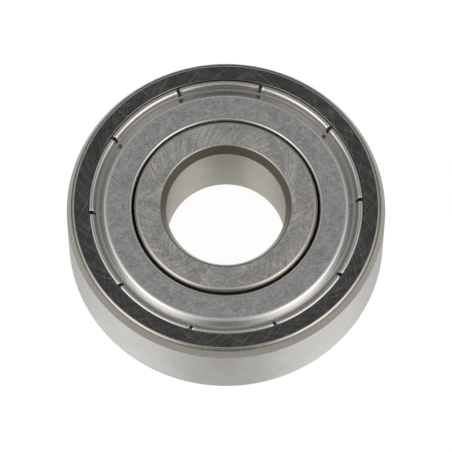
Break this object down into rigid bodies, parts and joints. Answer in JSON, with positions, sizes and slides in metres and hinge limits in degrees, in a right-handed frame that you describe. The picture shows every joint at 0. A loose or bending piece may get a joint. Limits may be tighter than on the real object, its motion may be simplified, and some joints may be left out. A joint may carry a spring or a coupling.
{
  "type": "deep-groove ball bearing",
  "caption": "Small deep-groove ball bearing: steel rings, riveted ribbon cage and balls behind crimped metal shields; carries a shaft that turns in a housing.",
  "frame": {"origin": "the middle of the bearing, on its axis and midway between its two faces", "axes": "+Z along the bearing's axis; +X through the centre of ball_1; both faces are alike, so +Z points out of the face called upper"},
  "size_m": [0.032, 0.032, 0.01],
  "materials": {
    "ring_steel": "satin",
    "shield_steel": "matte",
    "cage_steel": "satin",
    "ball_steel": "polished",
    "rivet_steel": "satin"
  },
  "bodies": {
    "outer": {"outer_ring": "ring_steel", "shield_upper": "shield_steel", "shield_lower": "shield_steel"},
    "inner": {"inner_ring": "ring_steel"},
    "cage": {"cage_half_upper": "cage_steel", "cage_half_lower": "cage_steel", "rivet_1": "rivet_steel", "rivet_2": "rivet_steel", "rivet_3": "rivet_steel", "rivet_4": "rivet_steel", "rivet_5": "rivet_steel", "rivet_6": "rivet_steel", "rivet_7": "rivet_steel"},
    "ball_1": {"ball_1": "ball_steel"},
    "ball_2": {"ball_2": "ball_steel"},
    "ball_3": {"ball_3": "ball_steel"},
    "ball_4": {"ball_4": "ball_steel"},
    "ball_5": {"ball_5": "ball_steel"},
    "ball_6": {"ball_6": "ball_steel"},
    "ball_7": {"ball_7": "ball_steel"}
  },
  "joints": [
    {"name": "inner_ring_spin", "type": "hinge", "parent": "outer", "child": "inner", "pos_m": [0, 0, 0], "axis": [0, 0, 1], "continuous": true},
    {"name": "cage_orbit", "type": "hinge", "parent": "outer", "child": "cage", "pos_m": [0, 0, 0], "axis": [0, 0, 1], "continuous": true},
    {"name": "ball_1_spin", "type": "hinge", "parent": "cage", "child": "ball_1", "pos_m": [0.011, 0, 0], "axis": [0, 0, 1], "continuous": true},
    {"name": "ball_2_spin", "type": "hinge", "parent": "cage", "child": "ball_2", "pos_m": [0.00686, 0.0086, 0], "axis": [0, 0, 1], "continuous": true},
    {"name": "ball_3_spin", "type": "hinge", "parent": "cage", "child": "ball_3", "pos_m": [-0.00245, 0.01072, 0], "axis": [0, 0, 1], "continuous": true},
    {"name": "ball_4_spin", "type": "hinge", "parent": "cage", "child": "ball_4", "pos_m": [-0.00991, 0.00477, 0], "axis": [0, 0, 1], "continuous": true},
    {"name": "ball_5_spin", "type": "hinge", "parent": "cage", "child": "ball_5", "pos_m": [-0.00991, -0.00477, 0], "axis": [0, 0, 1], "continuous": true},
    {"name": "ball_6_spin", "type": "hinge", "parent": "cage", "child": "ball_6", "pos_m": [-0.00245, -0.01072, 0], "axis": [0, 0, 1], "continuous": true},
    {"name": "ball_7_spin", "type": "hinge", "parent": "cage", "child": "ball_7", "pos_m": [0.00686, -0.0086, 0], "axis": [0, 0, 1], "continuous": true}
  ],
  "couplings": [
    {"joint": "cage_orbit", "follows": "inner_ring_spin", "ratio": 0.36471},
    {"joint": "ball_1_spin", "follows": "inner_ring_spin", "ratio": -1.7125},
    {"joint": "ball_2_spin", "follows": "inner_ring_spin", "ratio": -1.7125},
    {"joint": "ball_3_spin", "follows": "inner_ring_spin", "ratio": -1.7125},
    {"joint": "ball_4_spin", "follows": "inner_ring_spin", "ratio": -1.7125},
    {"joint": "ball_5_spin", "follows": "inner_ring_spin", "ratio": -1.7125},
    {"joint": "ball_6_spin", "follows": "inner_ring_spin", "ratio": -1.7125},
    {"joint": "ball_7_spin", "follows": "inner_ring_spin", "ratio": -1.7125}
  ]
}
